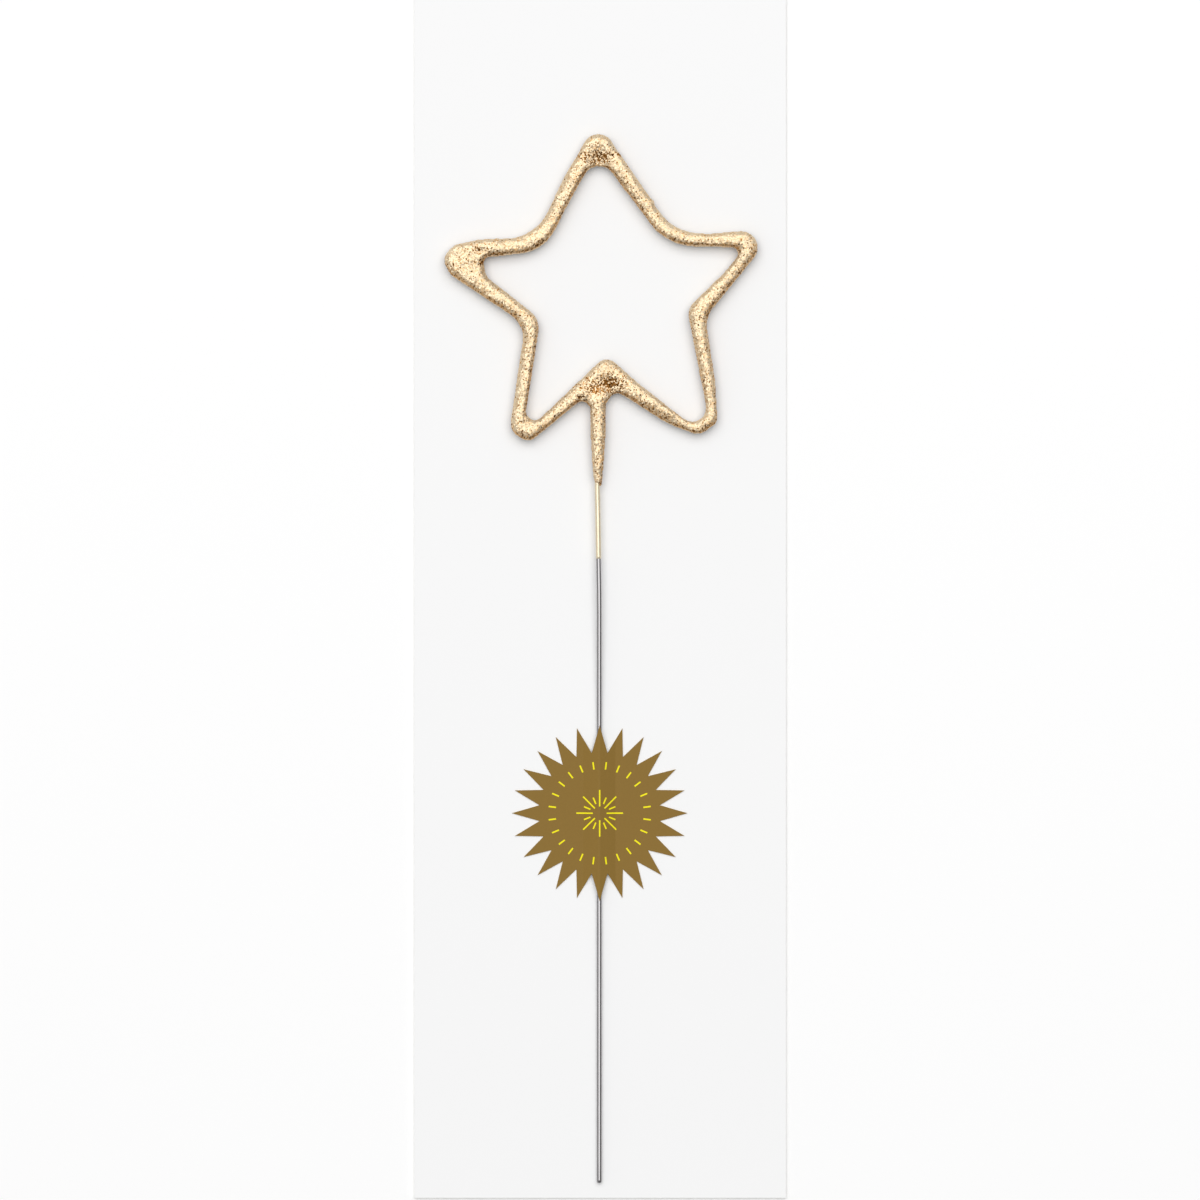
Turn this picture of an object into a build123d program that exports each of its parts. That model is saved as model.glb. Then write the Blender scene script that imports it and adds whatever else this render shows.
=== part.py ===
from build123d import *
from math import cos, radians, sin, tan
import os

# Gold star sparkler on its backing card, held there by a burst shaped seal.
# Millimetres. The card lies face up: X across it, Y up the card, Z out of its front.
# A share is a part of the star's width, so the star's outline follows that one size.

# Backing card
card_width = 70.0
card_height = 226.0
card_thickness = 0.6

# Steel wire
wire_diameter = 0.92
stem_length = 153.8  # from the star's notch down to the cut end
stem_lean = 0.24  # sideways drift of the stem below the coat
wire_bend_radius = 150.0  # gentle bends that bring the stem down to the card
wire_set_radius = 19.0  # slight set where the stem leaves the coat
rise_length = 22.6  # stretch in which the stem climbs from the card to the star
cut_chamfer = 0.12

# Coated star
star_width = 59.2
star_drop = 54.2  # from the card's top edge down to the star's centre
coat_depth = 3.0
lacquer_thickness = 0.12
film_thickness = 0.05  # lacquer alone on the wire below the coat
film_length = 13.6
neck_length = 22.9  # from the notch to the end of the coat on the stem
neck_overlap = 4.3  # how far below the notch the neck begins, inside the star
neck_straight = 8.7
neck_tip_length = 4.2
neck_step = 0.05  # the neck is this much slimmer than the star, all round
tip_coat = 0.25  # coat on the wire at the neck's end
tail_gap = 0.2  # between the wire's inner end and the stem

# Burst seal
seal_center_x = -0.09
seal_drop = 99.3  # from the star's centre down to the seal's
seal_outer_radius = 16.55
seal_inner_radius = 11.45
ray_count = 24
paper_thickness = 0.12
glue_thickness = 0.05
seal_slope = 20.0  # degrees, where the paper bridges the wire
seal_crease = 0.6  # radius where the paper lands on the card

# Clearances
lie_gap = 0.05  # wand to card
tent_clearance = 0.1  # wire to the underside of the seal
bend_clearance = 1.2  # top ray to the start of the climb

# Star outline: x share, y share and corner radius share, from the star's centre
outer_shares = [
    (-0.009, 0.526, 0.051), (0.231, 0.174, 0.150), (0.345, 0.165, 0.382),
    (0.569, 0.185, 0.053), (0.335, -0.102, 0.080), (0.366, -0.302, 0.478),
    (0.374, -0.436, 0.032), (0.316, -0.477, 0.045), (0.216, -0.441, 0.255),
    (0.091, -0.361, 0.191), (0.048, -0.335, 0.022), (0.016, -0.380, 0.026),
    (-0.030, -0.390, 0.020), (-0.055, -0.361, 0.022), (-0.226, -0.500, 0.036),
    (-0.290, -0.463, 0.050), (-0.239, -0.125, 0.083), (-0.476, 0.034, 0.045),
    (-0.504, 0.086, 0.038), (-0.468, 0.129, 0.057), (-0.387, 0.147, 0.191),
    (-0.206, 0.154, 0.146), (-0.117, 0.342, 0.637),
]
inner_shares = [
    (-0.009, 0.420, 0.051), (0.212, 0.126, 0.180), (0.457, 0.120, 0.019),
    (0.397, 0.045, 0.191), (0.276, -0.074, 0.047), (0.358, -0.495, 0.044),
    (0.129, -0.316, 0.255), (0.020, -0.220, 0.040), (-0.246, -0.473, 0.027),
    (-0.189, -0.106, 0.070), (-0.363, 0.030, 0.045), (-0.372, 0.088, 0.019),
    (-0.178, 0.109, 0.140), (-0.095, 0.271, 0.191),
]
# Wire round the star, from its notch clockwise to the corner before its end
notch_share = (-0.007, -0.255, 0.019)
ring_shares = [
    (0.305, -0.460, 0.029), (0.356, -0.418, 0.034), (0.347, -0.318, 0.318),
    (0.307, -0.092, 0.096), (0.501, 0.138, 0.029), (0.215, 0.145, 0.175),
    (-0.006, 0.484, 0.029), (-0.188, 0.126, 0.175), (-0.471, 0.111, 0.019),
    (-0.465, 0.072, 0.025), (-0.209, -0.115, 0.080), (-0.266, -0.503, 0.032),
]
tail_slope_share = 0.79  # rise of the last leg for its run
thin_strand_share = 0.034  # thinnest strand of the star
round_share = 0.43  # edge rounding, of the thinnest strand or of the depth

# Worked out from the sizes above
star_center_y = card_height / 2 - star_drop
seal_center_y = star_center_y - seal_drop
wire_radius = wire_diameter / 2
coat_bottom = card_thickness + lie_gap
star_level = coat_bottom + coat_depth / 2
stem_level = card_thickness + lie_gap + wire_radius
coat_round = round_share * min(thin_strand_share * star_width, coat_depth)
neck_radius = coat_depth / 2 - neck_step
tip_radius = wire_radius + tip_coat
notch_x = notch_share[0] * star_width
notch_y = star_center_y + notch_share[1] * star_width
neck_end_y = notch_y - neck_length
stem_x = notch_x + stem_lean
stem_bend_y = seal_center_y + seal_outer_radius + bend_clearance
stem_top_y = stem_bend_y + rise_length
stem_end_y = notch_y - stem_length


def star_points(shares):
    """Outline points and corner radii in millimetres."""
    points = [(x * star_width, star_center_y + y * star_width) for x, y, r in shares]
    return points, [r * star_width for x, y, r in shares]


def make_coat(inset):
    """The star and its neck, drawn in by an inset all round."""
    with BuildPart() as coat:
        with BuildSketch(Plane.XY.offset(coat_bottom + inset)):
            for shares, mode in ((outer_shares, Mode.ADD), (inner_shares, Mode.SUBTRACT)):
                points, corners = star_points(shares)
                with BuildLine():
                    FilletPolyline(*points, radius=corners, close=True)
                make_face(mode=mode)
            if inset:
                offset(amount=-inset, mode=Mode.REPLACE)
        extrude(amount=coat_depth - 2 * inset)
        rims = coat.faces().filter_by(Axis.Z).edges()
        fillet(rims, radius=coat_round - inset)
        add(make_neck(inset))
    return coat.part


def make_neck(inset):
    """The tapered coat round the top of the stem."""
    top = notch_y - neck_overlap - inset
    end = neck_end_y + inset
    shoulder = top - neck_straight
    waist = end + neck_tip_length
    waist_radius = (neck_radius + tip_radius) / 2
    with BuildPart() as neck:
        with BuildSketch(Plane.XY.offset(star_level)):
            with BuildLine():
                side = FilletPolyline(
                    (notch_x, top),
                    (notch_x + neck_radius - inset, top),
                    (notch_x + neck_radius - inset, shoulder),
                    (notch_x + waist_radius - inset, waist),
                    (notch_x + tip_radius - inset, end),
                    (notch_x, end),
                    radius=[0, neck_straight, neck_straight, 0],
                )
                Line(side @ 1, side @ 0)
            make_face()
        revolve(axis=Axis((notch_x, 0, star_level), (0, 1, 0)))
    return neck.part


def roof_points(level):
    """Section of everything under the seal, up to a level above the card's front."""
    reach = seal_outer_radius + abs(seal_center_x - stem_x) + wire_diameter
    surface = card_thickness + level
    wrap = wire_radius + tent_clearance + level
    apex = stem_level + wrap / cos(radians(seal_slope))
    foot = (apex - surface) / tan(radians(seal_slope))
    points = [
        (stem_x - reach, 0),
        (stem_x - reach, surface),
        (stem_x - foot, surface),
        (stem_x, apex),
        (stem_x + foot, surface),
        (stem_x + reach, surface),
        (stem_x + reach, 0),
    ]
    return points, [0, seal_crease, wrap, seal_crease, 0]


def make_seal_layer(low, high):
    """One layer of the burst seal, bent over the wire."""
    top_y = seal_center_y + seal_outer_radius
    with BuildPart() as layer:
        with BuildSketch(Plane.XZ.offset(-top_y)):
            for level, mode in ((high, Mode.ADD), (low, Mode.SUBTRACT)):
                points, corners = roof_points(level)
                with BuildLine():
                    roof = FilletPolyline(*points, radius=corners)
                    Line(roof @ 1, roof @ 0)
                make_face(mode=mode)
        extrude(amount=2 * seal_outer_radius)
        with BuildSketch(Plane.XY):
            points = []
            for step in range(2 * ray_count):
                reach = seal_inner_radius if step % 2 else seal_outer_radius
                angle = radians(90 + 180 * step / ray_count)
                x = seal_center_x + reach * cos(angle)
                points.append((x, seal_center_y + reach * sin(angle)))
            with BuildLine():
                Polyline(*points, close=True)
            make_face()
        extrude(amount=star_level + seal_outer_radius, mode=Mode.INTERSECT)
    return layer.part


os.makedirs("parts", exist_ok=True)

# Backing card: one flat die cut sheet
with BuildPart() as backing_card:
    with BuildSketch():
        Rectangle(card_width, card_height)
    extrude(amount=card_thickness)
backing_card.part.label = "backing_card"
export_step(backing_card.part, "parts/backing_card.step")

# Core wire: the stem lies on the card, climbs to the star and goes once round it
ring_points, ring_corners = star_points(ring_shares)
last_x, last_y = ring_points[-1]
tail_x = notch_x - 2 * wire_radius - tail_gap
tail_y = last_y + (tail_x - last_x) * tail_slope_share
route = [
    (stem_x, stem_end_y, stem_level),
    (stem_x, stem_bend_y, stem_level),
    (stem_x, stem_top_y, star_level),
    (notch_x, neck_end_y, star_level),
    (notch_x, notch_y, star_level),
]
route += [(x, y, star_level) for x, y in ring_points]
route.append((tail_x, tail_y, star_level))
bends = [wire_bend_radius, wire_bend_radius, wire_set_radius]
bends += [notch_share[2] * star_width] + ring_corners
with BuildPart() as core_wire:
    with BuildLine() as wire_line:
        FilletPolyline(*route, radius=bends)
    wire_path = wire_line.wire()
    with BuildSketch(Plane(origin=wire_path @ 0, z_dir=wire_path % 0)):
        Circle(wire_radius)
    sweep(path=wire_path)
    cut_end = core_wire.faces().sort_by(Axis.Y)[0]
    chamfer(cut_end.edges(), length=cut_chamfer)
core_wire.part.label = "core_wire"
export_step(core_wire.part, "parts/core_wire.step")

# Composition: the dipped burning mix, set round the wire
inner_coat = make_coat(lacquer_thickness)
with BuildPart() as composition:
    add(inner_coat)
    add(core_wire.part, mode=Mode.SUBTRACT)
composition.part.label = "composition"
export_step(composition.part, "parts/composition.step")

# Gold lacquer: a thin skin over the composition that runs down the wire below it
film_start = Vector(notch_x, neck_end_y, star_level)
film_run = (Vector(stem_x, stem_top_y, star_level) - film_start).normalized()
with BuildPart() as gold_lacquer:
    add(make_coat(0))
    with BuildSketch(Plane(origin=film_start - film_run * tip_radius, z_dir=film_run)):
        Circle(wire_radius + film_thickness)
    extrude(amount=film_length + tip_radius)
    add(inner_coat, mode=Mode.SUBTRACT)
    add(core_wire.part, mode=Mode.SUBTRACT)
gold_lacquer.part.label = "gold_lacquer"
export_step(gold_lacquer.part, "parts/gold_lacquer.step")

# Seal: printed paper burst with its own layer of glue
seal_glue = make_seal_layer(0, glue_thickness)
seal_glue.label = "seal_glue"
export_step(seal_glue, "parts/seal_glue.step")

burst_seal = make_seal_layer(glue_thickness, glue_thickness + paper_thickness)
burst_seal.label = "burst_seal"
export_step(burst_seal, "parts/burst_seal.step")
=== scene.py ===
import bpy
import math
import numpy as np
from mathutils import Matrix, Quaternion, Vector, kdtree, noise
from mathutils.bvhtree import BVHTree


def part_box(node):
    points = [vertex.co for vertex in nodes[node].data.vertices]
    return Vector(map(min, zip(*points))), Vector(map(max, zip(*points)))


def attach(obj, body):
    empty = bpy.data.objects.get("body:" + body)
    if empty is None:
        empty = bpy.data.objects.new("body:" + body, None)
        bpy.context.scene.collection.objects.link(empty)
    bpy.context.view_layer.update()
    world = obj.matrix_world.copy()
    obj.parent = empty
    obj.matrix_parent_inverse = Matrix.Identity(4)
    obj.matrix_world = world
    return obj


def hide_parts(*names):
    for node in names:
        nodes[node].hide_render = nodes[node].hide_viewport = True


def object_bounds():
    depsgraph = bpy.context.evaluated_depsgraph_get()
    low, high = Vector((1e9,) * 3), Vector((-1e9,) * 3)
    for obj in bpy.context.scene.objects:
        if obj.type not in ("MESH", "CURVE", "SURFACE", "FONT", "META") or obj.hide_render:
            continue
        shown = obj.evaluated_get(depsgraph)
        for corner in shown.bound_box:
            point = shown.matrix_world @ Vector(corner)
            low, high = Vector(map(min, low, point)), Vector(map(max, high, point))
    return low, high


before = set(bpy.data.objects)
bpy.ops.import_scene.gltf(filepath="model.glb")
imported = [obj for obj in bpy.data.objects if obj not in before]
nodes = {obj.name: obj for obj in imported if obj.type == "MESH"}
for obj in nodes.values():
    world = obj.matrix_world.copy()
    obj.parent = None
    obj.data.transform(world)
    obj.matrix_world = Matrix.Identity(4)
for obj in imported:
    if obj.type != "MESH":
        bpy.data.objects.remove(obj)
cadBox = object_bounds()
mm = 0.001
colorA, colorB, colorOut = 6, 7, 2  # sockets of a mix node that mixes colours
scene = bpy.context.scene
scene.view_settings.view_transform = "Standard"


def linearColor(hexText):  # sRGB hex to linear
    values = [int(hexText[i:i + 2], 16) / 255 for i in (1, 3, 5)]
    return [v / 12.92 if v <= 0.04045 else ((v + 0.055) / 1.055) ** 2.4 for v in values] + [1]


def addNode(tree, kind, settings=None, links=None):  # a setting is a socket's, or else the node's
    node = tree.nodes.new(kind)
    for name, value in (settings or {}).items():
        if isinstance(name, int) or name in node.inputs:
            node.inputs[name].default_value = value
        else:
            setattr(node, name, value)
    for name, socket in (links or {}).items():
        tree.links.new(socket, node.inputs[name])
    return node


def newMaterial(name):
    material = bpy.data.materials.new(name)
    material.use_nodes = True
    material.node_tree.nodes.clear()
    return material, material.node_tree


def closeMaterial(tree, shader):
    addNode(tree, "ShaderNodeOutputMaterial", links={"Surface": shader.outputs[0]})


def linkMesh(name, mesh):
    piece = bpy.data.objects.new(name, mesh)
    scene.collection.objects.link(piece)
    return piece


def bake(piece, name):  # modifiers applied to a plain mesh
    graph = bpy.context.evaluated_depsgraph_get()
    mesh = bpy.data.meshes.new_from_object(piece.evaluated_get(graph))
    bpy.data.objects.remove(piece)
    return linkMesh(name, mesh)


def shadeSmooth(mesh):
    mesh.polygons.foreach_set("use_smooth", [True] * len(mesh.polygons))
    mesh.update()


# Camera: straight above the card, as the photograph is taken

camera = {
    "lensMm": 190.0,
    "sensorMm": 36.0,
    "frameMm": 226.2,  # width of the square picture on the card
    "centerMm": (-0.03, -0.35),
    "farM": 20,
}


def makeCamera():
    data = bpy.data.cameras.new("camera")
    data.lens = camera["lensMm"]
    data.sensor_width = camera["sensorMm"]
    data.clip_end = camera["farM"]
    height = camera["lensMm"] / camera["sensorMm"] * camera["frameMm"]
    eye = bpy.data.objects.new("camera", data)
    eye.location = (camera["centerMm"][0] * mm, camera["centerMm"][1] * mm, height * mm)
    scene.collection.objects.link(eye)
    scene.camera = eye


makeCamera()
print("camera done")


# Studio: one wide soft box overhead, towards the card's top, in a pale room

studio = {
    "lampPlace": (0.0, 0.85, 2.35),  # metres
    "lampSize": (3.8, 2.8),
    "lampPower": 65.5,
    "roomColor": "#ffffff",
    "roomLevel": 0.36,
    "roomLean": (-0.45, 0.12, 0.0),  # the room is paler on this side
    "floorColor": "#ffffff",
    "floorSize": 6.0,
}


def makeLamp():  # it looks at the origin
    data = bpy.data.lights.new("softBox", "AREA")
    data.shape = "RECTANGLE"
    data.size, data.size_y = studio["lampSize"]
    data.energy = studio["lampPower"]
    lamp = bpy.data.objects.new("softBox", data)
    place = Vector(studio["lampPlace"])
    lamp.location = place
    lamp.rotation_euler = (-place).to_track_quat("-Z", "Y").to_euler()
    scene.collection.objects.link(lamp)


def makeRoom():
    world = bpy.data.worlds.new("room")
    world.use_nodes = True
    tree = world.node_tree
    background = tree.nodes["Background"]
    background.inputs["Color"].default_value = linearColor(studio["roomColor"])
    toward = addNode(tree, "ShaderNodeTexCoord").outputs["Generated"]
    lean = addNode(tree, "ShaderNodeVectorMath", {"operation": "DOT_PRODUCT",
                                                  1: studio["roomLean"]}, {0: toward})
    level = addNode(tree, "ShaderNodeMath", {"operation": "MULTIPLY_ADD",
                                             1: studio["roomLevel"], 2: studio["roomLevel"]},
                    {0: lean.outputs["Value"]})
    tree.links.new(level.outputs[0], background.inputs["Strength"])
    scene.world = world


def makeFloor():
    # Table painted matt white and rolled smooth: it shows nothing but soft shadows.
    half = studio["floorSize"] / 2
    mesh = bpy.data.meshes.new("floor")
    mesh.from_pydata([(-half, -half, 0), (half, -half, 0), (half, half, 0), (-half, half, 0)],
                     [], [(0, 1, 2, 3)])
    floor = linkMesh("floor", mesh)
    floor.location.z = cadBox[0][2]
    material, tree = newMaterial("paintedWhiteTable")
    shader = addNode(tree, "ShaderNodeBsdfDiffuse", {"Color": linearColor(studio["floorColor"])})
    closeMaterial(tree, shader)
    mesh.materials.append(material)


makeLamp()
makeRoom()
makeFloor()
print("studio done")


# Materials

lacquer = {
    "flakeMm": 0.24,  # width of a flake
    "patchMm": 2.4,  # width of a paler or darker patch
    "patchDetail": 4.0,
    # from the brown binder, which also serves as painted shade, to the palest gold
    "stops": [(0.0, "#623c10"), (0.25, "#a86f2d"), (0.6, "#dcb17b"), (1.0, "#edd9b8")],
    "sprayAndLightFrom": (-0.14, 0.74, 0.66),  # from above and from the card's top, where the lamp stands too
    # how squarely the surface faces that way, from brown to full gold: the brown on flanks turned
    # away is painted shade, partly thin lacquer
    "flankShade": (-0.9, 0.75),
    "pitShade": (0.43, 0.50),  # pointiness, from painted shade in crevices to none on flat
    "flakeShare": 0.5,  # how much one flake differs from the next
    "patchShare": 0.3,
    "speckShare": 0.05,  # flakes missing, so the binder shows
    "speckDrop": -0.7,  # how far a missing flake falls down the stops
    "flankShadeShare": 0.5,  # more of them down those flanks, as part of that painted shade
    "hollowShadeShare": 0.65,  # and in the webs and hollows, as painted shade
    "under": (-0.3, -0.7),  # Z of the normal, from gold to grey painted shade underneath
    # painted shade underneath, which also keeps warm bounce off the card
    "underShadeColor": "#5a564e",
    "metallic": 0.95,
    "roughness": 0.5,
    "tilt": 0.5,  # of the flakes, off the surface
}


def goldLevel(tree, coords, geometry, chance):  # place on the stops, with painted shade and flakes missing
    patch = addNode(tree, "ShaderNodeTexNoise", {"Scale": 1 / (lacquer["patchMm"] * mm),
                                                 "Detail": lacquer["patchDetail"]},
                    {"Vector": coords.outputs["Object"]})
    # painted shade: brown where the surface turns from the lamp's side, partly thinner spray
    # there
    meets = addNode(tree, "ShaderNodeVectorMath", {"operation": "DOT_PRODUCT",
                                                   1: lacquer["sprayAndLightFrom"]},
                    {0: coords.outputs["Normal"]})
    squarely = addNode(tree, "ShaderNodeMath", {"operation": "ABSOLUTE"},
                       {0: meets.outputs["Value"]})
    flankShade = addNode(tree, "ShaderNodeMapRange", {"interpolation_type": "SMOOTHSTEP",
                                                 "From Min": lacquer["flankShade"][0],
                                                 "From Max": lacquer["flankShade"][1]},
                    {"Value": squarely.outputs[0]})
    # painted shade: darker where pointiness finds crevices
    pitShade = addNode(tree, "ShaderNodeMapRange", {"From Min": lacquer["pitShade"][0],
                                                "From Max": lacquer["pitShade"][1]},
                   {"Value": geometry.outputs["Pointiness"]})
    gold = addNode(tree, "ShaderNodeMath", {"operation": "MULTIPLY"},
                   {0: flankShade.outputs[0], 1: pitShade.outputs[0]})
    byFlake = addNode(tree, "ShaderNodeMath", {"operation": "MULTIPLY_ADD",
                                               1: lacquer["flakeShare"]},
                      {0: chance.outputs["Red"], 2: gold.outputs[0]})
    byPatch = addNode(tree, "ShaderNodeMath", {"operation": "MULTIPLY_ADD",
                                               1: lacquer["patchShare"]},
                      {0: patch.outputs["Fac"], 2: byFlake.outputs[0]})
    middle = (lacquer["flakeShare"] + lacquer["patchShare"]) / 2
    level = addNode(tree, "ShaderNodeMath", {"operation": "SUBTRACT", 1: middle},
                    {0: byPatch.outputs[0]})
    # painted shade in the webs and hollows, marked on the mesh
    hollowShade = addNode(tree, "ShaderNodeAttribute", {"attribute_name": "hollowShade"})
    # more missing flakes on those flanks, as part of the painted shade
    onFlankShade = addNode(tree, "ShaderNodeMath", {"operation": "MULTIPLY_ADD",
                                               1: -lacquer["flankShadeShare"],
                                               2: lacquer["speckShare"] + lacquer["flankShadeShare"]},
                      {0: flankShade.outputs[0]})
    share = addNode(tree, "ShaderNodeMath", {"operation": "MULTIPLY_ADD",
                                             1: lacquer["hollowShadeShare"]},
                    {0: hollowShade.outputs["Fac"], 2: onFlankShade.outputs[0]})
    missing = addNode(tree, "ShaderNodeMath", {"operation": "LESS_THAN"},
                      {0: chance.outputs["Green"], 1: share.outputs[0]})
    return addNode(tree, "ShaderNodeMath", {"operation": "MULTIPLY_ADD",
                                            1: lacquer["speckDrop"]},
                   {0: missing.outputs[0], 2: level.outputs[0]}).outputs[0]


def flakeNormal(tree, geometry, flakes):  # a flake's random colour, centred on 0, tilts it
    turned = addNode(tree, "ShaderNodeVectorMath", {"operation": "SUBTRACT", 1: (0.5, 0.5, 0.5)},
                     {0: flakes.outputs["Color"]})
    scaled = addNode(tree, "ShaderNodeVectorMath", {"operation": "SCALE",
                                                    "Scale": lacquer["tilt"]},
                     {0: turned.outputs[0]})
    tilted = addNode(tree, "ShaderNodeVectorMath", {"operation": "ADD"},
                     {0: geometry.outputs["Normal"], 1: scaled.outputs[0]})
    return addNode(tree, "ShaderNodeVectorMath", {"operation": "NORMALIZE"},
                   {0: tilted.outputs[0]}).outputs[0]


def makeLacquer():
    # Gold flake lacquer, sprayed from above over a gritty dip, full and pale on the crests.
    # Brown painted shade, with some thin lacquer, darkens flanks turned from the lamp, hollows
    # and webs; grey painted shade covers the underside. Each flake is tilted its own way, so the
    # eye sees fine sparks.
    material, tree = newMaterial("goldFlakeLacquer")
    coords = addNode(tree, "ShaderNodeTexCoord")
    geometry = addNode(tree, "ShaderNodeNewGeometry")
    flakes = addNode(tree, "ShaderNodeTexVoronoi", {"Scale": 1 / (lacquer["flakeMm"] * mm)},
                     {"Vector": coords.outputs["Object"]})
    chance = addNode(tree, "ShaderNodeSeparateColor", links={"Color": flakes.outputs["Color"]})
    level = goldLevel(tree, coords, geometry, chance)
    ramp = addNode(tree, "ShaderNodeValToRGB", links={"Fac": level})
    while len(ramp.color_ramp.elements) < len(lacquer["stops"]):
        ramp.color_ramp.elements.new(0.5)
    for element, (position, color) in zip(ramp.color_ramp.elements, lacquer["stops"]):
        element.position = position
        element.color = linearColor(color)
    # painted shade: grey where the surface faces down
    upward = addNode(tree, "ShaderNodeSeparateXYZ", links={"Vector": coords.outputs["Normal"]})
    underShade = addNode(tree, "ShaderNodeMapRange", {"From Min": lacquer["under"][0],
                                                "From Max": lacquer["under"][1]},
                   {"Value": upward.outputs["Z"]})
    color = addNode(tree, "ShaderNodeMix",
                    {"data_type": "RGBA", colorB: linearColor(lacquer["underShadeColor"])},
                    {"Factor": underShade.outputs[0], colorA: ramp.outputs["Color"]})
    shader = addNode(tree, "ShaderNodeBsdfPrincipled",
                     {"Metallic": lacquer["metallic"], "Roughness": lacquer["roughness"]},
                     {"Base Color": color.outputs[colorOut],
                      "Normal": flakeNormal(tree, geometry, flakes)})
    closeMaterial(tree, shader)
    return material


film = {
    "color": "#e7d9bc",
    "streakMm": 0.35,  # width of a run
    "stretch": 6,  # length of a run for its width
    "detail": 2.0,
    "levels": (0.8, 1.2),  # from the darkest run to the palest
    "metallic": 0.7,
    "roughness": 0.34,
}


def makeFilmLacquer():
    # The same lacquer where it wets bare wire: thin and smooth, with faint runs along the wire.
    material, tree = newMaterial("thinGoldLacquer")
    place = addNode(tree, "ShaderNodeTexCoord").outputs["Object"]
    across = 1 / (film["streakMm"] * mm)
    mapped = addNode(tree, "ShaderNodeMapping", {"Scale": (across, across / film["stretch"],
                                                              across)},
                     {"Vector": place})
    runs = addNode(tree, "ShaderNodeTexNoise", {"Scale": 1.0, "Detail": film["detail"]},
                   {"Vector": mapped.outputs[0]})
    level = addNode(tree, "ShaderNodeMapRange", {"To Min": film["levels"][0],
                                                 "To Max": film["levels"][1]},
                    {"Value": runs.outputs["Fac"]})
    tint = addNode(tree, "ShaderNodeHueSaturation", {"Color": linearColor(film["color"])},
                   {"Value": level.outputs[0]})
    shader = addNode(tree, "ShaderNodeBsdfPrincipled",
                     {"Metallic": film["metallic"], "Roughness": film["roughness"]},
                     {"Base Color": tint.outputs[0]})
    closeMaterial(tree, shader)
    return material


steel = {
    "color": "#9e9c9d",
    "drawLineMm": 0.05,  # real draw lines are finer; coarse enough to show
    "stretch": 60,  # length of a line for its width
    "detail": 2.0,
    "lineDepthMm": 0.01,
    "lineBump": 0.15,
    "roughness": (0.05, 0.15),
}


def makeSteel():
    # Bright drawn steel wire: the die leaves fine lines along it, so its shine is a streak.
    material, tree = newMaterial("drawnSteelWire")
    place = addNode(tree, "ShaderNodeTexCoord").outputs["Object"]
    across = 1 / (steel["drawLineMm"] * mm)
    mapped = addNode(tree, "ShaderNodeMapping", {"Scale": (across, across / steel["stretch"],
                                                              across)},
                     {"Vector": place})
    lines = addNode(tree, "ShaderNodeTexNoise", {"Scale": 1.0, "Detail": steel["detail"]},
                    {"Vector": mapped.outputs[0]})
    rough = addNode(tree, "ShaderNodeMapRange", {"To Min": steel["roughness"][0],
                                                 "To Max": steel["roughness"][1]},
                    {"Value": lines.outputs["Fac"]})
    bump = addNode(tree, "ShaderNodeBump", {"Strength": steel["lineBump"],
                                            "Distance": steel["lineDepthMm"] * mm},
                   {"Height": lines.outputs["Fac"]})
    shader = addNode(tree, "ShaderNodeBsdfPrincipled",
                     {"Base Color": linearColor(steel["color"]), "Metallic": 1.0},
                     {"Roughness": rough.outputs[0], "Normal": bump.outputs[0]})
    closeMaterial(tree, shader)
    return material


board = {
    "face": "#f8f8f8",
    "core": "#e6e4de",
    "faceFrom": 0.7,  # Z of the normal on the two faces, and less than this on the cut edge
    "fibreMm": 0.35,
    "fibreDetail": 4.0,
    "fibreCurl": 1.2,
    "fibreDepthMm": 0.02,
    "fibreBump": 0.12,
    "roughness": 0.62,
    "specular": 0.25,
}


def makeBoard():
    # Coated white board, die cut: a smooth matt face with faint fibre, and a greyer cut edge.
    material, tree = newMaterial("coatedWhiteBoard")
    coords = addNode(tree, "ShaderNodeTexCoord")
    fibre = addNode(tree, "ShaderNodeTexNoise", {"Scale": 1 / (board["fibreMm"] * mm),
                                                 "Detail": board["fibreDetail"],
                                                 "Distortion": board["fibreCurl"]},
                    {"Vector": coords.outputs["Object"]})
    side = addNode(tree, "ShaderNodeSeparateXYZ", links={"Vector": coords.outputs["Normal"]})
    upright = addNode(tree, "ShaderNodeMath", {"operation": "ABSOLUTE"}, {0: side.outputs["Z"]})
    isFace = addNode(tree, "ShaderNodeMath", {"operation": "GREATER_THAN",
                                              1: board["faceFrom"]},
                     {0: upright.outputs[0]})
    color = addNode(tree, "ShaderNodeMix",
                    {"data_type": "RGBA", colorA: linearColor(board["core"]),
                     colorB: linearColor(board["face"])}, {"Factor": isFace.outputs[0]})
    bump = addNode(tree, "ShaderNodeBump", {"Strength": board["fibreBump"],
                                            "Distance": board["fibreDepthMm"] * mm},
                   {"Height": fibre.outputs["Fac"]})
    shader = addNode(tree, "ShaderNodeBsdfPrincipled",
                     {"Roughness": board["roughness"],
                      "Specular IOR Level": board["specular"]},
                     {"Base Color": color.outputs[colorOut], "Normal": bump.outputs[0]})
    closeMaterial(tree, shader)
    return material


sealPrint = {
    "paper": "#8b6d30",
    "ink": "#fdf012",
    "levels": (0.94, 1.06),  # from the darkest fibre to the palest
    "fibreMm": 0.3,
    "fibreDetail": 3.0,
    "fibreDepthMm": 0.02,
    "fibreBump": 0.15,
    "roughness": 0.6,
    "specular": 0.2,
    # number of dashes, inner and outer radius and width in mm, and turn in steps from a dash up
    "dashRings": [(24, 8.3, 9.7, 0.28, 0.5), (8, 1.3, 4.4, 0.26, 0.0),
                  (8, 1.9, 3.2, 0.26, 0.5)],
}


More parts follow.
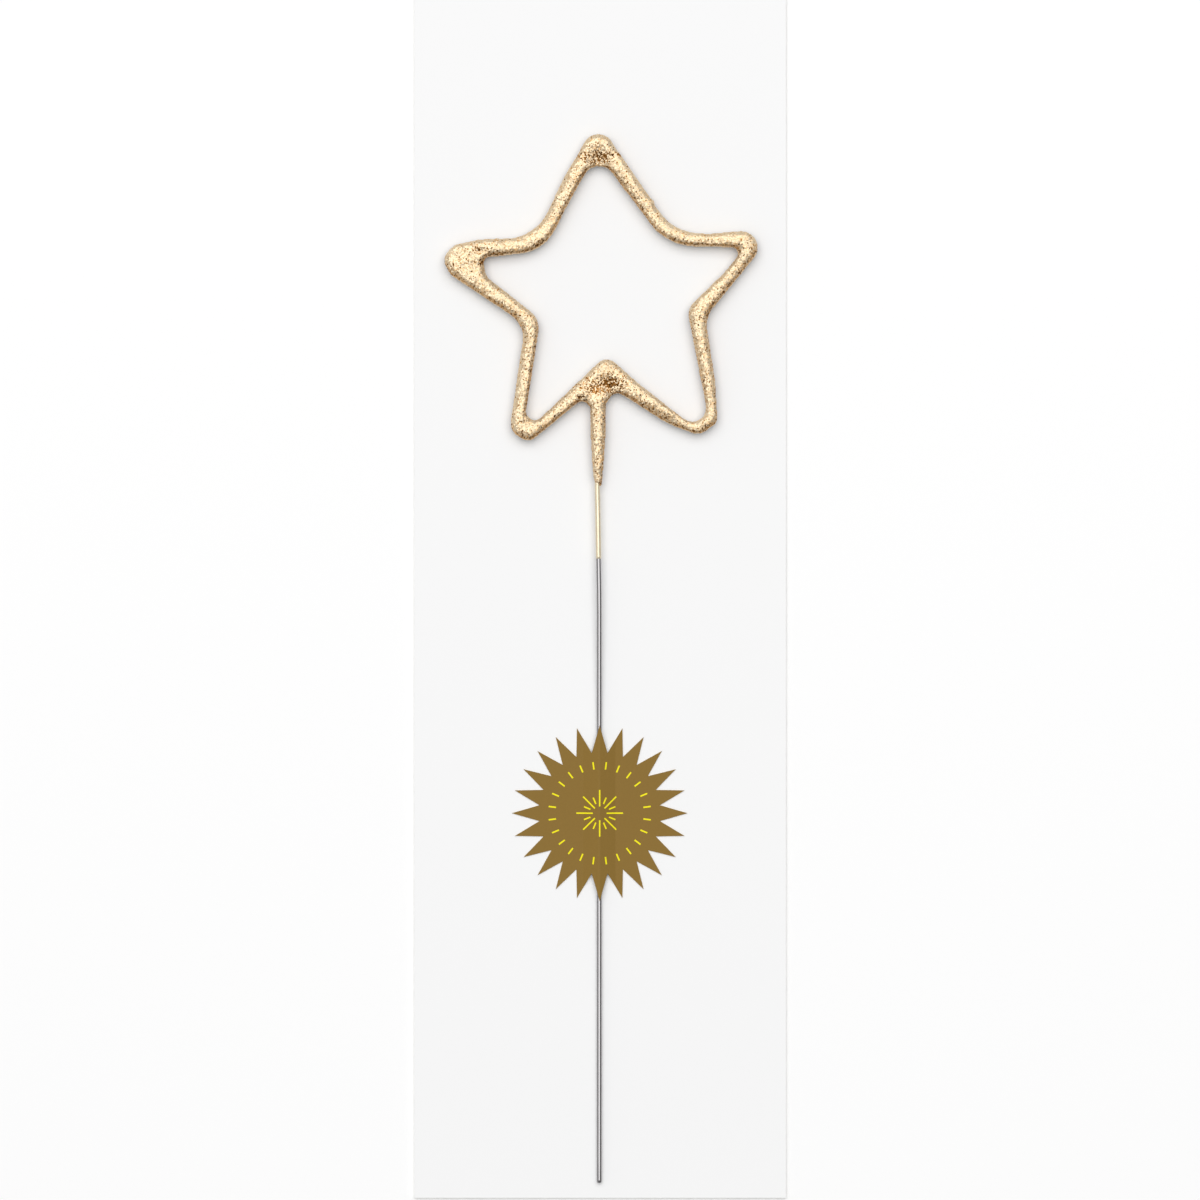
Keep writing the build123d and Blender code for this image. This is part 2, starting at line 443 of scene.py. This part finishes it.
def dashRing(tree, radius, angle, dashes):  # 1 on each radial dash of a ring
    count, inner, outer, width, offset = dashes
    turn = addNode(tree, "ShaderNodeMath", {"operation": "MULTIPLY_ADD", 1: count / math.tau,
                                            2: count / 4 + 0.5 + offset + count}, {0: angle})
    part = addNode(tree, "ShaderNodeMath", {"operation": "FRACT"}, {0: turn.outputs[0]})
    middle = addNode(tree, "ShaderNodeMath", {"operation": "SUBTRACT", 1: 0.5},
                     {0: part.outputs[0]})
    away = addNode(tree, "ShaderNodeMath", {"operation": "ABSOLUTE"}, {0: middle.outputs[0]})
    arc = addNode(tree, "ShaderNodeMath", {"operation": "MULTIPLY"},
                  {0: away.outputs[0], 1: radius})
    thin = addNode(tree, "ShaderNodeMath", {"operation": "LESS_THAN",
                                            1: width / 2 * mm * count / math.tau},
                   {0: arc.outputs[0]})
    past = addNode(tree, "ShaderNodeMath", {"operation": "GREATER_THAN", 1: inner * mm},
                   {0: radius})
    within = addNode(tree, "ShaderNodeMath", {"operation": "LESS_THAN", 1: outer * mm},
                     {0: radius})
    both = addNode(tree, "ShaderNodeMath", {"operation": "MULTIPLY"},
                   {0: past.outputs[0], 1: within.outputs[0]})
    return addNode(tree, "ShaderNodeMath", {"operation": "MULTIPLY"},
                   {0: both.outputs[0], 1: thin.outputs[0]}).outputs[0]


def makeSealPaper():
    # Label paper printed ochre all over with thin yellow dashes: matt, with faint fibre.
    material, tree = newMaterial("printedLabelPaper")
    coords = addNode(tree, "ShaderNodeTexCoord")
    low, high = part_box("burst_seal")
    center = (low + high) / 2
    moved = addNode(tree, "ShaderNodeVectorMath", {"operation": "SUBTRACT", 1: tuple(center)},
                    {0: coords.outputs["Object"]})
    flat = addNode(tree, "ShaderNodeVectorMath", {"operation": "MULTIPLY", 1: (1, 1, 0)},
                   {0: moved.outputs[0]})
    radius = addNode(tree, "ShaderNodeVectorMath", {"operation": "LENGTH"},
                     {0: flat.outputs[0]}).outputs["Value"]
    parts = addNode(tree, "ShaderNodeSeparateXYZ", links={"Vector": flat.outputs[0]})
    angle = addNode(tree, "ShaderNodeMath", {"operation": "ARCTAN2"},
                    {0: parts.outputs["Y"], 1: parts.outputs["X"]}).outputs[0]
    marks = [dashRing(tree, radius, angle, dashes) for dashes in sealPrint["dashRings"]]
    ink = marks[0]
    for mark in marks[1:]:
        ink = addNode(tree, "ShaderNodeMath", {"operation": "MAXIMUM"},
                      {0: ink, 1: mark}).outputs[0]
    fibre = addNode(tree, "ShaderNodeTexNoise", {"Scale": 1 / (sealPrint["fibreMm"] * mm),
                                                 "Detail": sealPrint["fibreDetail"]},
                    {"Vector": coords.outputs["Object"]})
    level = addNode(tree, "ShaderNodeMapRange", {"To Min": sealPrint["levels"][0],
                                                 "To Max": sealPrint["levels"][1]},
                    {"Value": fibre.outputs["Fac"]})
    paper = addNode(tree, "ShaderNodeHueSaturation",
                    {"Color": linearColor(sealPrint["paper"])}, {"Value": level.outputs[0]})
    printed = addNode(tree, "ShaderNodeMix",
                      {"data_type": "RGBA", colorB: linearColor(sealPrint["ink"])},
                      {"Factor": ink, colorA: paper.outputs[0]})
    bump = addNode(tree, "ShaderNodeBump", {"Strength": sealPrint["fibreBump"],
                                            "Distance": sealPrint["fibreDepthMm"] * mm},
                   {"Height": fibre.outputs["Fac"]})
    shader = addNode(tree, "ShaderNodeBsdfPrincipled",
                     {"Roughness": sealPrint["roughness"],
                      "Specular IOR Level": sealPrint["specular"]},
                     {"Base Color": printed.outputs[colorOut], "Normal": bump.outputs[0]})
    closeMaterial(tree, shader)
    return material


glue = {
    "color": "#e9e4d2",
    "levels": (0.95, 1.05),
    "grainMm": 0.5,
    "roughness": 0.35,
}


def makeGlue():
    # Clear pressure sensitive adhesive, coated on the paper's back: faintly milky.
    material, tree = newMaterial("acrylicAdhesive")
    place = addNode(tree, "ShaderNodeTexCoord").outputs["Object"]
    cloud = addNode(tree, "ShaderNodeTexNoise", {"Scale": 1 / (glue["grainMm"] * mm)},
                    {"Vector": place})
    level = addNode(tree, "ShaderNodeMapRange", {"To Min": glue["levels"][0],
                                                 "To Max": glue["levels"][1]},
                    {"Value": cloud.outputs["Fac"]})
    tint = addNode(tree, "ShaderNodeHueSaturation", {"Color": linearColor(glue["color"])},
                   {"Value": level.outputs[0]})
    shader = addNode(tree, "ShaderNodeBsdfPrincipled", {"Roughness": glue["roughness"]},
                     {"Base Color": tint.outputs[0]})
    closeMaterial(tree, shader)
    return material


mix = {
    "dark": "#2c2a28",
    "pale": "#77726a",
    "grainMm": 0.3,
    "grainDepthMm": 0.05,
    "grainBump": 0.5,
    "roughness": 0.8,
}


def makeMix():
    # Dried burning mix, dipped in layers: gritty grey with paler metal grains.
    material, tree = newMaterial("driedSparklerMix")
    place = addNode(tree, "ShaderNodeTexCoord").outputs["Object"]
    grains = addNode(tree, "ShaderNodeTexVoronoi", {"Scale": 1 / (mix["grainMm"] * mm)},
                     {"Vector": place})
    chance = addNode(tree, "ShaderNodeSeparateColor", links={"Color": grains.outputs["Color"]})
    color = addNode(tree, "ShaderNodeMix",
                    {"data_type": "RGBA", colorA: linearColor(mix["dark"]),
                     colorB: linearColor(mix["pale"])}, {"Factor": chance.outputs["Red"]})
    bump = addNode(tree, "ShaderNodeBump", {"Strength": mix["grainBump"],
                                            "Distance": mix["grainDepthMm"] * mm},
                   {"Height": grains.outputs["Distance"]})
    shader = addNode(tree, "ShaderNodeBsdfPrincipled", {"Roughness": mix["roughness"]},
                     {"Base Color": color.outputs[colorOut], "Normal": bump.outputs[0]})
    closeMaterial(tree, shader)
    return material


# Wire: one length, bent by hand into a stem and a star

wire = {
    "radiusMm": 0.46,
    "sides": 28,
    "stepMm": 0.5,  # longest segment along the wire
    "chamferMm": 0.12,  # at the cut end
    "stemLeanMm": 0.24,  # sideways, from the notch to the stem on the card
    "setLeanMm": -0.12,  # and to the place where the stem leaves the coat
    "riseMm": 22.6,  # stretch in which the stem climbs from the card to the star
    "bendMm": 150.0,  # radius of the two bends at its ends
    "setMm": 19.0,  # radius of the bend where the stem leaves the coat
    "neckMm": 22.9,  # from the notch to the coat's end
    "bendAboveSealMm": 1.2,
    "notchMm": (-0.41, 43.70, 1.13),  # x, y and bend radius
    # corners round the star: x, y and bend radius
    "ringMm": [(18.06, 31.57, 1.7), (21.08, 34.05, 2.0), (20.54, 39.97, 18.8),
               (18.17, 53.35, 5.7), (29.66, 66.97, 1.7), (12.73, 67.38, 10.4),
               (-0.36, 87.45, 1.7), (-11.13, 66.26, 10.4), (-27.88, 65.37, 1.1),
               (-27.53, 63.06, 1.5), (-12.37, 51.99, 4.7), (-15.75, 29.02, 1.9)],
    "tailMm": (-1.53, 40.25),  # the inner end, beside the notch
}


def bentRoute(corners, step):  # straight runs joined by tangent arcs, sampled evenly
    points = [Vector(corners[0][0])]
    for (before, _), (corner, bend), (after, _) in zip(corners, corners[1:], corners[2:]):
        here = Vector(corner)
        back = (Vector(before) - here).normalized()
        ahead = (Vector(after) - here).normalized()
        half = back.angle(ahead) / 2
        reach = bend / math.tan(half)
        middle = here + (back + ahead).normalized() * bend / math.sin(half)
        start = here + back * reach - middle
        sweep = math.pi - 2 * half
        turnAxis = back.cross(ahead).normalized() * -1
        pieces = max(2, math.ceil(sweep * bend / step))
        for i in range(pieces + 1):
            turn = start.copy()
            turn.rotate(Quaternion(turnAxis, sweep * i / pieces))
            points.append(middle + turn)
    points.append(Vector(corners[-1][0]))
    spread = [points[0]]
    for a, b in zip(points, points[1:]):
        pieces = max(1, math.ceil((b - a).length / step))
        spread += [a.lerp(b, (i + 1) / pieces) for i in range(pieces)]
    return spread


def wireRoute(step):  # the wire's centre line in mm, from the cut end round to the tail
    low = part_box("core_wire")[0] / mm
    coatLow, coatHigh = [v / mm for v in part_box("gold_lacquer")]
    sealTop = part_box("burst_seal")[1].y / mm
    level = (coatLow.z + coatHigh.z) / 2
    stemLevel = low.z + wire["radiusMm"]
    notchX, notchY, notchBend = wire["notchMm"]
    stemX = notchX + wire["stemLeanMm"]
    bendY = sealTop + wire["bendAboveSealMm"]
    corners = [((stemX, low.y, stemLevel), 0),
               ((stemX, bendY, stemLevel), wire["bendMm"]),
               ((stemX, bendY + wire["riseMm"], level), wire["bendMm"]),
               ((notchX + wire["setLeanMm"], notchY - wire["neckMm"], level), wire["setMm"]),
               ((notchX, notchY, level), notchBend)]
    corners += [((x, y, level), bend) for x, y, bend in wire["ringMm"]]
    corners.append(((*wire["tailMm"], level), 0))
    return bentRoute(corners, step)


def tubeMesh(name, points, radii, sides):  # rings carried along the line without twist
    rings = []
    across = Vector((1, 0, 0))
    for i, point in enumerate(points):
        ahead = (points[min(i + 1, len(points) - 1)] - points[max(i - 1, 0)]).normalized()
        across = (across - ahead * across.dot(ahead)).normalized()
        other = ahead.cross(across)
        for side in range(sides):
            turn = math.tau * side / sides
            outward = across * math.cos(turn) + other * math.sin(turn)
            rings.append((point + outward * radii[i]) * mm)
    faces = []
    for i in range(len(points) - 1):
        for side in range(sides):
            a = i * sides + side
            b = i * sides + (side + 1) % sides
            faces.append((a, b, b + sides, a + sides))
    faces.append(tuple(reversed(range(sides))))
    faces.append(tuple(range((len(points) - 1) * sides, len(points) * sides)))
    mesh = bpy.data.meshes.new(name)
    mesh.from_pydata(rings, [], faces)
    shadeSmooth(mesh)
    return mesh


def makeWire():
    points = wireRoute(wire["stepMm"])
    end = points[0]
    points = [end, end + Vector((0, wire["chamferMm"], 0))] + points[1:]
    radii = [wire["radiusMm"] - wire["chamferMm"]] + [wire["radiusMm"]] * (len(points) - 1)
    mesh = tubeMesh("steelWire", points, radii, wire["sides"])
    mesh.materials.append(makeSteel())
    piece = linkMesh("steelWire", mesh)
    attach(piece, "wand")
    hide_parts("core_wire")


makeWire()
print("wire done")


# Coat: a dipped skin that rides high on the wire, sinks in the webs and is fat at the left tip

coat = {
    "gridMm": 0.14,
    "marginCells": 3,
    "voxelMm": 0.11,
    "routeStepMm": 0.25,
    "depthMm": 1.40,  # half the depth of a full strand
    "thinMm": 0.5,  # thinnest half strand
    "fatMm": 1.85,  # widest half strand that stays round
    "nearWireMm": 0.9,  # the half width is read off this near the wire
    "evenOver": 10,  # and evened out over this many points of the route to each side
    "leastEdgeMm": 0.02,
    "webFrom": 1.15,  # a web begins where the coat is this much wider than its strand
    "webOver": 0.9,  # and is full after this much more
    "webRound": 0.3,  # a web slopes from the wire to its rim, and this much of it stays round
    "webFall": 1.6,
    "boxiness": 2.3,  # of a strand's section, where 2 is a circle
    "fullShare": 0.97,  # height of a crest for its strand's half width
    "leastShare": 0.08,  # lowest height, as a share of the crest's
    "softening": (0.5, 10),  # strength and rounds
    "lumps": [(3.2, 0.14), (1.1, 0.08), (0.32, 0.085)],  # size and height in mm
    "mixInsetMm": 0.3,  # the mix lies this deep under the skin
    "mixVoxelMm": 0.24,
    # place on the card, spread and edge roundness
    "domes": [(-25.0, 63.8, 5.0, 1.3), (-0.4, 20.9, 1.2, 0.7)],
    # place, half sizes and depth share
    "dips": [(0.9, 39.7, 3.2, 1.6, 0.35), (-3.6, 37.7, 0.6, 0.5, 0.25),
             (-22.3, 65.2, 1.2, 0.6, 0.15), (-0.2, 82.4, 2.8, 1.5, 0.4)],
    # painted shade in the webs: place, half sizes and how dark, where 1 is as dark as it gets
    "shadedHollows": [(1.8, 40.4, 2.6, 1.2, 1.1), (-1.5, 39.3, 2.1, 1.0, 1.0),
                (-3.6, 37.8, 0.8, 0.4, 0.9), (-22.6, 65.6, 1.8, 0.6, 0.6),
                (-22.4, 63.4, 0.5, 1.3, 0.5), (-0.3, 83.3, 3.4, 0.8, 0.8),
                (-0.3, 82.2, 2.6, 0.6, 0.5)],
    "tipMm": 0.9,  # the coat's end on the stem is rounded over this length
    "tipCoatMm": 0.4,  # coat on the wire where that rounding ends
    "slant": 0.65,  # of that end, higher on the left
    "slantFromMm": 0.6,  # right of the wire
    "slantOverMm": 1.4,
    "bumps": [(-19.4, 67.1, 0.7)],  # place and radius, added to the outline
    # place, radius and height of small flecks and dents, pushed out of the finished skin
    "flecks": [(9.75, 74.6, 0.5, 0.22), (10.4, 73.5, 0.6, -0.12), (-8.0, 75.4, 0.4, 0.25)],
}


def coatMask():  # the coat's outline from above, on a grid of points
    low, high = [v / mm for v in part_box("gold_lacquer")]
    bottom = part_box("composition")[0].y / mm
    step = coat["gridMm"]
    margin = coat["marginCells"] * step
    xs = np.arange(low.x - margin, high.x + margin, step)
    ys = np.arange(bottom - margin, high.y + margin, step)
    mesh = nodes["gold_lacquer"].data
    tree = BVHTree.FromPolygons([v.co for v in mesh.vertices],
                                [p.vertices for p in mesh.polygons])
    mask = np.zeros((len(xs), len(ys)), bool)
    for i, x in enumerate(xs):
        for j, y in enumerate(ys):
            if y > bottom:  # looked at from a metre above
                mask[i, j] = tree.ray_cast((x * mm, y * mm, 1), (0, 0, -1))[0] is not None
    across, along = np.meshgrid(xs, ys, indexing="ij")
    for x, y, radius in coat["bumps"]:
        mask |= (across - x) ** 2 + (along - y) ** 2 < radius ** 2
    neckX = wire["notchMm"][0]
    left = np.clip(neckX + coat["slantFromMm"] - across, 0, coat["slantOverMm"])
    rise = np.clip((along - (bottom + coat["slant"] * left)) / coat["tipMm"], 0, 1)
    tipRadius = wire["radiusMm"] + coat["tipCoatMm"] * np.sqrt(rise)
    mask &= (rise > 0) & ((rise == 1) | (abs(across - neckX) < tipRadius))
    return xs, ys, mask


def nearestTree(points):
    tree = kdtree.KDTree(len(points))
    for i, point in enumerate(points):
        tree.insert((point[0], point[1], 0), i)
    tree.balance()
    return tree


def smoothStep(value):
    value = min(1.0, max(0.0, value))
    return value * value * (3 - 2 * value)


def near(placeX, placeY, x, y, halfX, halfY):  # 1 at the spot, fading over its half sizes
    return np.exp(-((placeX - x) / halfX) ** 2 - ((placeY - y) / halfY) ** 2)


def sectionShare(x, y, off, edge, radius):  # height at a spot, as a share of its crest's
    span = off + edge
    out = off / span  # 0 on the wire, 1 at the rim
    wide = smoothStep((span / radius - coat["webFrom"]) / coat["webOver"])
    share = (1 - out ** coat["boxiness"]) ** (1 / coat["boxiness"])
    share += (1 - coat["webRound"]) * wide * (1 - out ** coat["webFall"] - share)
    for domeX, domeY, spread, roundness in coat["domes"]:
        closeness = near(x, y, domeX, domeY, spread, spread)
        inward = 1 - min(1.0, edge / roundness)
        share += (math.sqrt(1 - inward ** 2) - share) * closeness
    for *spot, depth in coat["dips"]:
        share *= 1 - depth * near(x, y, *spot)
    return max(share, coat["leastShare"])


def coatHeights(xs, ys, mask):  # half depth in mm at each point of the outline's grid
    inside = np.argwhere(mask)
    padded = np.pad(mask, 1)
    beside = sum(padded[1 + a:padded.shape[0] - 1 + a, 1 + b:padded.shape[1] - 1 + b]
                 for a in (-1, 0, 1) for b in (-1, 0, 1))
    rim = [(xs[i], ys[j]) for i, j in np.argwhere(~mask & (beside > 0))]
    rimTree = nearestTree(rim)
    route = [p for p in wireRoute(coat["routeStepMm"]) if p.y > ys[0]]
    routeTree = nearestTree(route)
    edge, along, off = {}, {}, {}
    widest = [coat["thinMm"]] * len(route)
    for i, j in inside:
        place = (xs[i], ys[j], 0)
        edge[i, j] = max(coat["leastEdgeMm"], rimTree.find(place)[2] - coat["gridMm"] / 2)
        _, along[i, j], off[i, j] = routeTree.find(place)
        if off[i, j] < coat["nearWireMm"]:
            widest[along[i, j]] = max(widest[along[i, j]], edge[i, j])
    widest = [min(w, coat["fatMm"]) for w in widest]
    reach = coat["evenOver"]
    even = []
    for k in range(len(widest)):
        stretch = widest[max(0, k - reach):k + reach + 1]
        even.append(sum(stretch) / len(stretch))
    heights = {}
    for i, j in inside:
        radius = even[along[i, j]]
        full = min(radius * coat["fullShare"], coat["depthMm"])
        heights[i, j] = full * sectionShare(xs[i], ys[j], off[i, j], edge[i, j], radius)
    return heights


def makeCoatSheets():  # top and bottom sheets, joined round the rim
    xs, ys, mask = coatMask()
    heights = coatHeights(xs, ys, mask)
    low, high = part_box("gold_lacquer")
    level = (low.z + high.z) / 2
    number, points = {}, []
    for (i, j), height in heights.items():
        number[i, j] = len(points)
        points.append((xs[i] * mm, ys[j] * mm, level + height * mm))
    count = len(points)
    points += [(x, y, 2 * level - z) for x, y, z in points]
    faces, edges = [], {}
    for i, j in heights:
        cell = [(i, j), (i + 1, j), (i + 1, j + 1), (i, j + 1)]
        if all(corner in number for corner in cell):
            quad = [number[corner] for corner in cell]
            faces.append(tuple(quad))
            faces.append(tuple(count + k for k in reversed(quad)))
            for a, b in zip(quad, quad[1:] + quad[:1]):
                edges[a, b] = True
    for a, b in edges:
        if (b, a) not in edges:
            faces.append((b, a, count + a, count + b))
    mesh = bpy.data.meshes.new("coatSheets")
    mesh.from_pydata(points, [], faces)
    return linkMesh("coatSheets", mesh)


def addRemesh(piece, voxelMm):
    remesh = piece.modifiers.new("remesh", "REMESH")
    remesh.mode = "VOXEL"
    remesh.voxel_size = voxelMm * mm


def addLumps(piece):  # from the dip's long swells to its grit
    for size, height in coat["lumps"]:
        texture = bpy.data.textures.new("dipLumps", "CLOUDS")
        texture.noise_scale = size * mm
        texture.noise_depth = 1
        push = piece.modifiers.new("lumps", "DISPLACE")
        push.texture = texture
        push.texture_coords = "LOCAL"
        push.mid_level = 0.5  # as much in as out
        push.strength = height * mm


def finishSkin(mesh):  # marks the painted shade in the hollows for the lacquer and pushes out the flecks
    places = np.array([vertex.co / mm for vertex in mesh.vertices])
    normals = np.array([vertex.normal for vertex in mesh.vertices])
    # painted shade in the webs, stored on the skin for the lacquer
    shadeLevels = sum(depth * near(places[:, 0], places[:, 1], *spot)
                 for *spot, depth in coat["shadedHollows"])
    hollowShade = mesh.attributes.new("hollowShade", "FLOAT", "POINT")
    hollowShade.data.foreach_set("value", np.minimum(shadeLevels, 1))
    for x, y, radius, height in coat["flecks"]:
        closeness = near(places[:, 0], places[:, 1], x, y, radius, radius)
        places += normals * height * closeness[:, None]
    mesh.vertices.foreach_set("co", (places * mm).ravel())
    mesh.update()


def makeCoat():
    sheets = makeCoatSheets()
    addRemesh(sheets, coat["voxelMm"])
    soften = sheets.modifiers.new("soften", "SMOOTH")
    soften.factor, soften.iterations = coat["softening"]
    base = bake(sheets, "coatBase")
    core = linkMesh("sparklerMix", base.data.copy())
    shrink = core.modifiers.new("shrink", "DISPLACE")
    shrink.mid_level = 0  # all of it goes inward
    shrink.strength = -coat["mixInsetMm"] * mm
    addRemesh(core, coat["mixVoxelMm"])
    addLumps(base)
    skin = bake(base, "goldCoat")
    shadeSmooth(skin.data)
    skin.data.materials.append(makeLacquer())
    finishSkin(skin.data)
    core = bake(core, "sparklerMix")
    shadeSmooth(core.data)
    core.data.materials.append(makeMix())
    for piece, node, name in ((skin, "gold_lacquer", "gold_lacquer"),
                              (core, "composition", "sparkler_mix")):
        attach(piece, "wand")
        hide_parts(node)
    print("coat faces", len(skin.data.polygons), "mix faces", len(core.data.polygons))


makeCoat()
print("coat done")


# Film: lacquer alone on the wire below the coat, with a sharp lower end

filmShape = {
    "skinMm": 0.035,
    "lipMm": 0.005,  # thickness at the lower end
    "overlapMm": 1.5,  # hidden inside the coat
    "stepMm": 0.3,
    "swellMm": 0.012,
    "swellsPerMm": 0.9,
    "stemHalfMm": 2,  # the stem is the part of the route this near the middle
}


def makeFilm():
    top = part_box("composition")[0].y / mm + filmShape["overlapMm"]
    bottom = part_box("gold_lacquer")[0].y / mm
    points = [p for p in wireRoute(filmShape["stepMm"])
              if bottom <= p.y <= top and abs(p.x) < filmShape["stemHalfMm"]]
    radius = wire["radiusMm"] + filmShape["skinMm"]
    radii = [radius + filmShape["swellMm"] * noise.noise(p * filmShape["swellsPerMm"])
             for p in points]
    radii[0] = wire["radiusMm"] + filmShape["lipMm"]
    mesh = tubeMesh("goldFilm", points, radii, wire["sides"])
    mesh.materials.append(makeFilmLacquer())
    piece = linkMesh("goldFilm", mesh)
    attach(piece, "wand")
    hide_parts("gold_lacquer")


makeFilm()
print("film done")


# Card and seal keep their own solids

for nodeName, material in (("backing_card", makeBoard()), ("burst_seal", makeSealPaper()),
                           ("seal_glue", makeGlue())):
    nodes[nodeName].data.materials.clear()
    nodes[nodeName].data.materials.append(material)
print("card and seal done")
